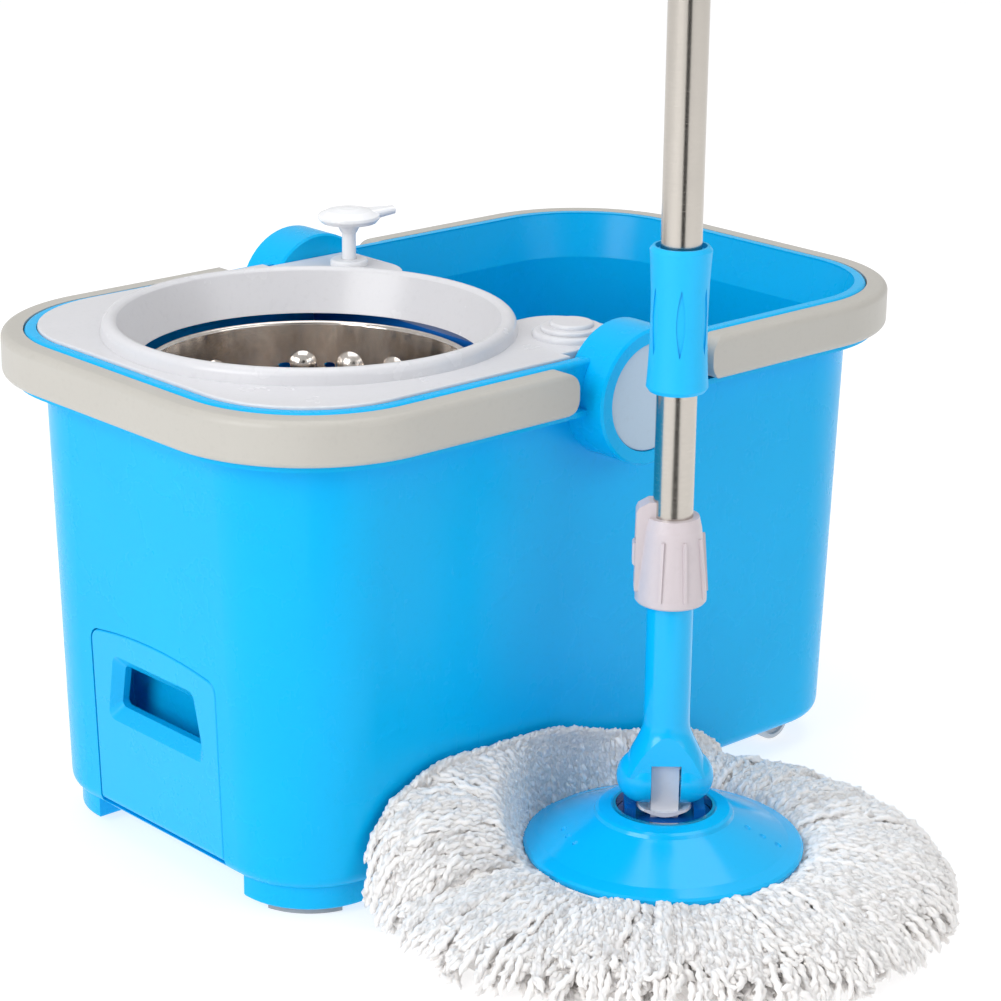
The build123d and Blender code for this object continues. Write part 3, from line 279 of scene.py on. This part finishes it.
def make_finishes():
    tube_lines = (0.6, 0.6, 16.0)
    finishes = {
        "tub_blue": plastic("tub_plastic", BLUE, 0.26, grain_strength=0.05, scuffs=0.1, gloss=0.17),
        "tow_blue": plastic("tow_plastic", BLUE, 0.26, ripple=0.08, gloss=0.3),
        "reservoir_blue": plastic("reservoir_plastic", DEEP_BLUE, 0.30),
        "handle_grey": plastic("handle_plastic", HANDLE, 0.40, 1100.0, 0.25, 0.06, 0.5),
        "deck_white": plastic("deck_plastic", DECK, 0.24, grain_strength=0.03, ripple=0.03, scuffs=0.0),
        "badge_grey": plastic("badge_plastic", BADGE, 0.42, 900.0, 0.3, 0.05),
        "pump_white": plastic("pump_plastic", WHITE, 0.20, ripple=0.06),
        "rubber_grey": rubber("foot_rubber", RUBBER),
        "wheel_plastic": rubber("wheel_rubber", WHEEL),
        "steel_plain": brushed("turned_steel", STEEL, 0.30, (1.0, 1.0, 20.0)),
        "steel_tube": brushed("brushed_tube", STEEL, 0.21, tube_lines, 300.0, 0.25),
        "steel_polished": polished_sheet(),
        "bearing_chrome": brushed("bearing_chrome", srgb(214, 210, 206), 0.12, (1.0, 1.0, 8.0), 200.0, 0.1),
        "plate_blue": plastic("plate_plastic", PLATE_BLUE, 0.13, ripple=0.08, gloss=0.38),
        "hub_blue": plastic("hub_plastic", DEEP_BLUE, 0.25),
        "grip_blue": plastic("grip_plastic", GRIP_BLUE, 0.40, 800.0, 0.45, 0.04, gloss=0.3),
        "collar_grey": plastic("collar_plastic", COLLAR, 0.36, 1000.0, 0.2),
        "nylon_white": plastic("nylon", NYLON, 0.34, ripple=0.05),
        "yarn_white": yarn_material(),
    }
    glow_through(finishes["deck_white"], (0.9, 0.95, 1.0), 0.12, 0.004)
    glow_through(finishes["pump_white"], (0.9, 0.95, 1.0), 0.12, 0.004)
    glow_through(finishes["tub_blue"], (0.05, 0.5, 1.0), 0.06, 0.004)
    return {slot: shader.material for slot, shader in finishes.items()}


def dress(finishes):
    """Gives each CAD node the material of its slot in the record."""
    for sub in frame["record"]["subparts"]:
        node = frame["nodes"][sub["node"]]
        node.data.materials.clear()
        node.data.materials.append(finishes[sub["material_slot"]])


# ---------- yarn ----------
def between_lobes(angle):
    """0 in the middle of a clump of yarn, 1 in the gap between two clumps."""
    uneven = 0.10 * math.sin(3 * angle + 1.0) + 0.06 * math.sin(7 * angle)
    return 1 - abs(math.cos(LOBES / 2 * (angle + uneven)))


class Heap:
    """The yarn's CAD solid, asked for its top surface at a place."""

    def __init__(self, node):
        mesh = node.data
        corners = [v.co.copy() for v in mesh.vertices]
        faces = [tuple(p.vertices) for p in mesh.polygons]
        self.tree = BVHTree.FromPolygons(corners, faces)
        self.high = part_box(node.name)[1]
        plate_low, plate_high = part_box("mop_plate")
        self.middle = (plate_low + plate_high) / 2
        self.plate_r = (plate_high.x - plate_low.x) / 2
        self.plate_z = plate_low.z
        self.wall_y = self.high.y
        self.reach = self.high.x - self.middle.x

    def top(self, x, y):
        """Height of the heap's top, kept low beside the plate and rounded off along the wall."""
        by_wall = y > self.wall_y - WALL_BAND
        probe = Vector((x, self.wall_y - BAND_PROBE if by_wall else y, self.high.z + 0.1))
        hit = self.tree.ray_cast(probe, Vector((0, 0, -1)))[0]
        if hit is None:
            return None
        from_plate = math.hypot(x - self.middle.x, y - self.middle.y) - self.plate_r
        near_wall = min(1.0, max(0.0, (y - self.middle.y) / (self.wall_y - self.middle.y)))
        climb = CLIMB + WALL_CLIMB * near_wall ** 4
        rim = self.plate_z - RIM_TUCK + max(0.0, from_plate) * climb
        outward = max(0.0, from_plate) / (self.reach - self.plate_r)
        groove = LOBE_DIP * between_lobes(math.atan2(y - self.middle.y, x - self.middle.x)) ** 2
        top = hit.z if by_wall else min(hit.z, rim)
        return top - groove * min(1.0, outward) ** GROOVE_POWER


class Mesh:
    """Corners and faces gathered strand by strand."""

    def __init__(self):
        self.verts = []
        self.faces = []
        self.count = 0

    def add(self, verts, faces):
        self.verts.append(verts)
        self.faces.append(faces + self.count)
        self.count += len(verts)


def strand_route(heap, rng, angle, start_r, length, drift, lift, sink, curl):
    """The centre points of one strand, from near the plate out over the heap to its curled end."""
    phase = rng.uniform(0, 2 * math.pi, 4)
    sway = rng.uniform(*SWAY)
    wave = rng.uniform(*WAVE)
    swing = rng.uniform(*SWING)
    slide = 1.0 if math.cos(angle) + rng.uniform(-SLIDE_MIX, SLIDE_MIX) > 0 else -1.0
    margin = STRAND_R * 1.1
    x = heap.middle.x + start_r * math.cos(angle)
    y = heap.middle.y + start_r * math.sin(angle)
    points = []
    travelled = 0.0
    while travelled < length:
        part = travelled / length
        turn = drift * part * part + swing * math.sin(2 * math.pi * travelled / wave + phase[0])
        turn += curl * max(0.0, part - CURL_FROM) / (1 - CURL_FROM)
        dx, dy = math.cos(angle + turn), math.sin(angle + turn)
        limit = heap.wall_y - margin - WALL_PLAY * (1 + math.sin(phase[1] + 9 * part))
        if y + dy * STRAND_STEP > limit:
            dx, dy = slide, 0.0
        x += dx * STRAND_STEP
        y = min(y + dy * STRAND_STEP, limit)
        travelled += STRAND_STEP
        surface = heap.top(x, y)
        if surface is None:
            break
        bob = sway * math.sin(2 * math.pi * travelled / (wave * 0.8) + phase[2])
        rise = min(1.0, travelled / 0.010)
        z = surface - margin - sink + (lift + bob) * rise
        points.append((x, y, max(z, STRAND_R)))
    return points


def even_route(points):
    """Evens out steps in a route, and keeps neighbouring points a similar distance apart."""
    route = np.array(points)
    for _ in range(2):
        route[1:-1] = 0.25 * route[:-2] + 0.5 * route[1:-1] + 0.25 * route[2:]
    gaps = np.linalg.norm(np.diff(route, axis=0), axis=1)
    along = np.concatenate([[0], np.cumsum(gaps)])
    count = max(5, int(along[-1] / STRAND_STEP))
    even = np.linspace(0, along[-1], count)
    return np.stack([np.interp(even, along, route[:, i]) for i in range(3)], 1), even


def tube_faces(count, sides):
    """Quads of a tube of count rings; its two ends are left open, and the callers narrow the end rings to
    close them.
    """
    i, j = np.meshgrid(np.arange(count - 1), np.arange(sides), indexing="ij")
    k = (j + 1) % sides
    quads = np.stack([i * sides + j, i * sides + k, (i + 1) * sides + k, (i + 1) * sides + j], -1)
    return quads.reshape(-1, 4)


def add_strand(mesh, points, rng, thick):
    """Sweeps a two-ply cross-section, turning as it goes, along a route."""
    route, along = even_route(points)
    count = len(route)
    ahead = np.gradient(route, axis=0)
    ahead /= np.maximum(np.linalg.norm(ahead, axis=1, keepdims=True), 1e-9)
    side = np.cross(ahead, (0.0, 0.0, 1.0))
    side /= np.maximum(np.linalg.norm(side, axis=1, keepdims=True), 1e-6)
    up = np.cross(side, ahead)
    around = np.arange(STRAND_SIDES) * 2 * math.pi / STRAND_SIDES
    twist = rng.uniform(0, math.pi) + 2 * math.pi * along[:, None] / STRAND_PITCH
    lumps = 1 + LUMP * np.sin(along / LUMP_EVERY + rng.uniform(0, 6)) + rng.normal(0, 0.05, count)
    lobes = (1 - PLY) + PLY * np.cos(2 * (around[None, :] - twist))
    radius = thick * lobes * lumps[:, None]
    radius[0] = radius[-1] = thick * 0.02
    radius[1] *= 0.7
    radius[-2] *= 0.75
    ring = (side[:, None, :] * np.cos(around)[None, :, None]
            + up[:, None, :] * np.sin(around)[None, :, None])
    verts = route[:, None, :] + ring * radius[:, :, None]
    verts[:, :, 2] = np.maximum(verts[:, :, 2], 0.0003)
    mesh.add(verts.reshape(-1, 3), tube_faces(count, STRAND_SIDES))


def new_piece(name, verts, faces, material):
    mesh = bpy.data.meshes.new(name)
    mesh.from_pydata(verts, [], faces)
    mesh.validate()
    mesh.materials.append(material)
    mesh.shade_smooth()
    piece = bpy.data.objects.new(name, mesh)
    bpy.context.scene.collection.objects.link(piece)
    return piece


def yarn_strands(heap, rng):
    """Locks of strands in layers, then loose curls that break up the fan."""
    sectors = [Mesh() for _ in range(YARN_SECTORS)]

    def place(angle, points, thick):
        if len(points) > 5:
            share = (angle % (2 * math.pi)) / (2 * math.pi)
            add_strand(sectors[int(share * YARN_SECTORS) % YARN_SECTORS], points, rng, thick)

    base_r = heap.plate_r - 0.004
    for layer, (sink, inset, per_lock) in enumerate(YARN_LAYERS):
        for lock in range(LOCKS):
            middle = 2 * math.pi * (lock + 0.37 * layer) / LOCKS + rng.normal(0, 0.025)
            reach = heap.reach - rng.uniform(0.003, 0.014) - inset
            lift = rng.uniform(-0.0020, 0.0014)
            drift = rng.normal(0, 0.22)
            for i in range(per_lock):
                share = (i + 0.5) / per_lock - 0.5
                angle = middle + share * 2 * math.pi / LOCKS + rng.normal(0, 0.012)
                start_r = base_r + (0.0 if i % 2 else rng.uniform(0.0, 0.035))
                length = reach - start_r - 0.008 * abs(share) + rng.normal(0, 0.003) + 0.010
                length -= FRONT_SHORTER * max(0.0, math.cos(angle - FRONT_ANGLE)) ** 2
                length -= LOBE_INSET * between_lobes(angle)
                points = strand_route(heap, rng, angle, start_r, length, drift - share * 0.5,
                                      lift + rng.normal(0, 0.0008), sink, rng.normal(0, 1.5))
                place(angle, points, STRAND_R * rng.uniform(0.85, 1.12))
    for _ in range(CURLS):
        angle = rng.uniform(0, 2 * math.pi)
        start_r = base_r + 0.012 + (heap.reach - base_r - 0.030) * math.sqrt(rng.uniform(0, 1))
        points = strand_route(heap, rng, angle + rng.normal(0, 0.5), start_r, rng.uniform(0.014, 0.034),
                              rng.normal(0, 0.9), rng.uniform(-0.001, 0.0016), 0.0, rng.normal(0, 2.2))
        place(angle, points, STRAND_R * rng.uniform(0.8, 1.1))
    return sectors


def yarn_core(heap, material):
    """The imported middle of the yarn, which shows only as shadow between the strands."""
    rings, sides = CORE_RINGS, CORE_SIDES
    inner, outer = heap.plate_r - CORE_TUCK, heap.reach - CORE_INSET
    verts, faces = [], []
    for i in range(rings + 1):
        for j in range(sides):
            a = 2 * math.pi * j / sides
            rim = outer - FRONT_SHORTER * max(0.0, math.cos(a - FRONT_ANGLE)) ** 2
            rim -= LOBE_INSET * between_lobes(a)
            r = inner + (rim - inner) * i / rings
            x = heap.middle.x + r * math.cos(a)
            y = min(heap.middle.y + r * math.sin(a), heap.wall_y - CORE_TUCK)
            top = heap.top(x, y) or 0.0
            edge = min(1.0, (rim - r) / CORE_EDGE)
            verts.append((x, y, max(0.001, (top - CORE_SINK) * edge)))
    for i in range(rings):
        for j in range(sides):
            k = (j + 1) % sides
            faces.append((i * sides + j, (i + 1) * sides + j, (i + 1) * sides + k, i * sides + k))
    low_ring = len(verts)
    for j in range(sides):
        a = 2 * math.pi * j / sides
        verts.append((heap.middle.x + inner * math.cos(a), heap.middle.y + inner * math.sin(a), 0.0008))
    for j in range(sides):
        k = (j + 1) % sides
        faces.append((j, k, low_ring + k, low_ring + j))
    first_outer = rings * sides
    for j in range(sides):
        k = (j + 1) % sides
        faces.append((low_ring + j, low_ring + k, first_outer + k, first_outer + j))
    return new_piece("yarn_core", verts, faces, material)


def make_yarn(material):
    heap = Heap(frame["nodes"]["mop_yarn"])
    pieces = []
    for i, mesh in enumerate(yarn_strands(heap, np.random.default_rng(YARN_SEED))):
        verts = np.concatenate(mesh.verts).tolist()
        faces = np.concatenate(mesh.faces).tolist()
        pieces.append(new_piece(f"yarn_strands_{i + 1}", verts, faces, material))
    pieces.append(yarn_core(heap, material))
    for piece in pieces:
        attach(piece, "mop_disc")
    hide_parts("mop_yarn")


# ---------- pump spring ----------
def make_pump_coil(material):
    """The pump's spring as a wire coil, attached to the deck."""
    low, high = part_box("pump_spring")
    middle, height = (low + high) / 2, high.z - low.z
    count = COIL_TURNS * COIL_STEPS
    share = np.linspace(0, 1, count)
    angle = 2 * math.pi * COIL_TURNS * share
    outward = np.stack([np.cos(angle), np.sin(angle), np.zeros(count)], 1)
    route = outward * ((high.x - low.x) / 2 - COIL_WIRE_R) + np.array(middle)
    route[:, 2] = low.z + COIL_WIRE_R + (height - 2 * COIL_WIRE_R) * share
    around = np.arange(COIL_SIDES) * 2 * math.pi / COIL_SIDES
    wire = np.full(count, COIL_WIRE_R)
    wire[0] = wire[-1] = COIL_WIRE_R * 0.02
    ring = (outward[:, None, :] * np.cos(around)[None, :, None]
            + np.array((0.0, 0.0, 1.0)) * np.sin(around)[None, :, None])
    verts = route[:, None, :] + ring * wire[:, None, None]
    coil = new_piece("pump_coil", verts.reshape(-1, 3).tolist(),
                     tube_faces(count, COIL_SIDES).tolist(), material)
    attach(coil, "deck")
    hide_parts("pump_spring")
    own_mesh(coil)


# ---------- stage ----------
def make_floor():
    mesh = bpy.data.meshes.new("studio_floor")
    half = FLOOR_HALF
    z = CAD_LOW.z - FLOOR_DROP
    mesh.from_pydata([(-half, -half, z), (half, -half, z), (half, half, z), (-half, half, z)],
                     [], [(0, 1, 2, 3)])
    floor = bpy.data.objects.new("studio_floor", mesh)
    bpy.context.scene.collection.objects.link(floor)
    s = Shader("floor_paper")
    s.set(Base_Color=s.blend(s.between(s.noise(3.0), 0, 1), (0.42, 0.42, 0.425), (0.44, 0.44, 0.445)),
          Roughness=0.9)
    s.bsdf.inputs["Specular IOR Level"].default_value = 0.1
    s.bsdf.inputs["Emission Color"].default_value = (1.0, 1.0, 1.0, 1.0)
    s.bsdf.inputs["Emission Strength"].default_value = FLOOR_GLOW
    mesh.materials.append(s.material)


def area_light(name, at, target, size, power, colour=(1, 1, 1)):
    data = bpy.data.lights.new(name, "AREA")
    data.shape = "RECTANGLE"
    data.size, data.size_y = size
    data.energy = power
    data.color = colour
    lamp = bpy.data.objects.new(name, data)
    lamp.location = at
    lamp.rotation_mode = "QUATERNION"
    lamp.rotation_quaternion = (Vector(target) - Vector(at)).to_track_quat("-Z", "Y")
    bpy.context.scene.collection.objects.link(lamp)


def make_flag():
    """A black cloth on the floor and up a board, seen only in reflections: the streak down the tubes."""
    low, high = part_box("lower_tube")
    pole = (low + high) / 2
    towards = math.radians(CAMERA_YAW + FLAG_TURN)
    out = Vector((math.sin(towards), -math.cos(towards), 0))
    side = Vector((-out.y, out.x, 0)) * FLAG_HALF
    start = Vector((pole.x, pole.y, CAD_LOW.z + 0.001)) + out * FLAG_NEAR
    foot = start + out * (FLAG_AWAY - FLAG_NEAR)
    top = foot + Vector((0, 0, FLAG_HIGH))
    corners = [place + sign * side for place in (start, foot, top) for sign in (-1, 1)]
    mesh = bpy.data.meshes.new("studio_flag")
    mesh.from_pydata(corners, [], [(0, 1, 3, 2), (2, 3, 5, 4)])
    flag = bpy.data.objects.new("studio_flag", mesh)
    bpy.context.scene.collection.objects.link(flag)
    s = Shader("flag_cloth")
    s.set(Roughness=1.0)
    s.bsdf.inputs["Base Color"].default_value = (0.02, 0.02, 0.02, 1.0)
    mesh.materials.append(s.material)
    flag.visible_camera = flag.visible_shadow = flag.visible_diffuse = False


def make_light():
    area_light("key_left", (-2.8, -0.2, 1.5), AIM, (1.8, 1.8), 50)
    area_light("fill_front", (0.6, -2.8, 1.6), AIM, (2.0, 1.4), 14)
    area_light("overhead", (0.2, 0.2, 3.0), AIM, (2.6, 2.6), 33)
    world = bpy.data.worlds.new("studio")
    bpy.context.scene.world = world
    world.use_nodes = True
    tree = world.node_tree
    back = tree.nodes["Background"]
    back.inputs["Color"].default_value = (1, 1, 1, 1)
    facing = tree.nodes.new("ShaderNodeVectorMath")
    facing.operation = "DOT_PRODUCT"
    tree.links.new(tree.nodes.new("ShaderNodeTexCoord").outputs["Generated"], facing.inputs[0])
    facing.inputs[1].default_value = (math.sin(math.radians(CAMERA_YAW)),
                                      -math.cos(math.radians(CAMERA_YAW)), 0.0)
    shade = tree.nodes.new("ShaderNodeMapRange")
    for key, value in zip(("From Min", "From Max", "To Min", "To Max"), DARK_SIDE):
        shade.inputs[key].default_value = value
    tree.links.new(facing.outputs["Value"], shade.inputs["Value"])
    tree.links.new(shade.outputs["Result"], back.inputs["Strength"])
    seen = tree.nodes.new("ShaderNodeBackground")
    seen.inputs["Color"].default_value = (1, 1, 1, 1)
    seen.inputs["Strength"].default_value = 1.0
    path = tree.nodes.new("ShaderNodeLightPath")
    mix = tree.nodes.new("ShaderNodeMixShader")
    tree.links.new(path.outputs["Is Camera Ray"], mix.inputs["Fac"])
    tree.links.new(back.outputs[0], mix.inputs[1])
    tree.links.new(seen.outputs[0], mix.inputs[2])
    tree.links.new(mix.outputs[0], tree.nodes["World Output"].inputs["Surface"])


def make_camera():
    yaw, down, roll = (math.radians(a) for a in (CAMERA_YAW, CAMERA_DOWN, CAMERA_ROLL))
    forward = Vector((-math.sin(yaw) * math.cos(down), math.cos(yaw) * math.cos(down), -math.sin(down)))
    right = forward.cross(Vector((0, 0, 1))).normalized()
    up = right.cross(forward)
    rolled_right = right * math.cos(roll) + up * math.sin(roll)
    rolled_up = up * math.cos(roll) - right * math.sin(roll)
    turn = Matrix((rolled_right, rolled_up, -forward)).transposed().to_4x4()
    data = bpy.data.cameras.new("camera")
    data.lens = CAMERA_LENS
    data.sensor_width = 36.0
    camera = bpy.data.objects.new("camera", data)
    camera.matrix_world = Matrix.Translation(CAMERA_AT) @ turn
    bpy.context.scene.collection.objects.link(camera)
    bpy.context.scene.camera = camera


finishes = make_finishes()
dress(finishes)
make_yarn(finishes["yarn_white"])
make_pump_coil(finishes["steel_plain"])
make_floor()
make_flag()
make_light()
make_camera()
bpy.context.scene.view_settings.view_transform = "Standard"

bpy.context.view_layer.update()
